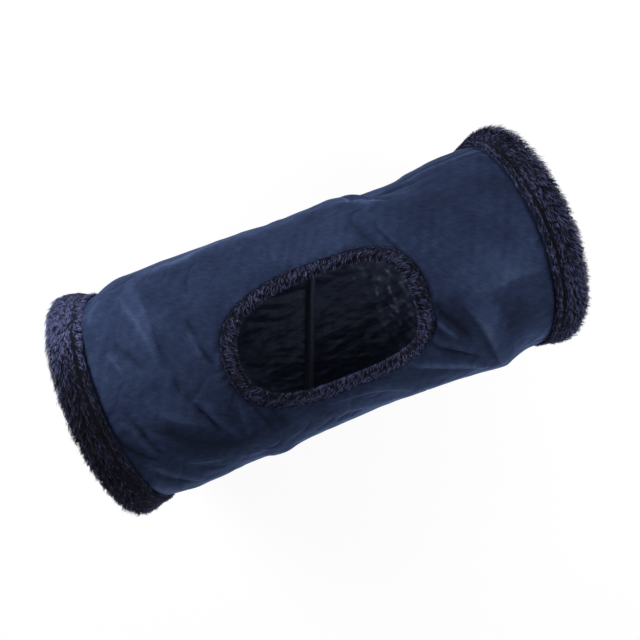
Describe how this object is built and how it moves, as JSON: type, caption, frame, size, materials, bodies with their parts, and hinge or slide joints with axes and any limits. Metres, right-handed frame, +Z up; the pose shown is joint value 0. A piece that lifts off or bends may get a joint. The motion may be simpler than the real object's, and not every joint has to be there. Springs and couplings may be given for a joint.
{
  "type": "cat tunnel",
  "caption": "Pop-up cat tunnel: a suede-look tube on a spring coil, with plush edges at both ends and round an oval opening in its side.",
  "frame": {"origin": "on the floor, under the middle of the tunnel's box", "axes": "+X along the tunnel towards the end that slides, +Z up, the way the side opening faces"},
  "size_m": [0.5, 0.252, 0.248],
  "materials": {
    "suede": "navy suede-look polyester with a short nap",
    "plush": "dark navy plush fur, about 8 mm long, lying in curls",
    "taffeta": "near-black crumpled taffeta with a soft shine",
    "crackling_film": "thin rustling plastic film",
    "woven_tape": "woven polyester tape",
    "spring_steel": "drawn spring steel wire",
    "crimped_steel": "zinc plated, crimped",
    "thread": "polyester sewing thread"
  },
  "bodies": {
    "left_end": {"cover": "suede", "crinkle_film": "crackling_film", "lining": "taffeta", "spring_coil": "spring_steel", "coil_tape": "woven_tape", "left_plush_edge": "plush", "left_hoop_casing": "woven_tape", "left_end_hoop": "spring_steel", "left_hoop_sleeve": "crimped_steel", "left_coil_sleeve": "crimped_steel", "left_edge_stitching": "thread"},
    "opening_edge": {"opening_plush_edge": "plush", "opening_stitching": "thread"},
    "right_end": {"right_plush_edge": "plush", "right_hoop_casing": "woven_tape", "right_end_hoop": "spring_steel", "right_hoop_sleeve": "crimped_steel", "right_coil_sleeve": "crimped_steel", "right_edge_stitching": "thread"}
  },
  "joints": [
    {"name": "collapse", "type": "slide", "parent": "left_end", "child": "right_end", "axis": [-1, 0, 0], "range_m": [0, 0.4], "stiffness_N_per_m": 25, "deforming": ["cover", "crinkle_film", "lining", "spring_coil", "coil_tape"]},
    {"name": "opening_slide", "type": "slide", "parent": "left_end", "child": "opening_edge", "axis": [-1, 0, 0], "range_m": [0, 0.2], "deforming": ["opening_plush_edge", "opening_stitching"]}
  ],
  "couplings": [
    {"joint": "opening_slide", "follows": "collapse", "ratio": 0.5}
  ]
}
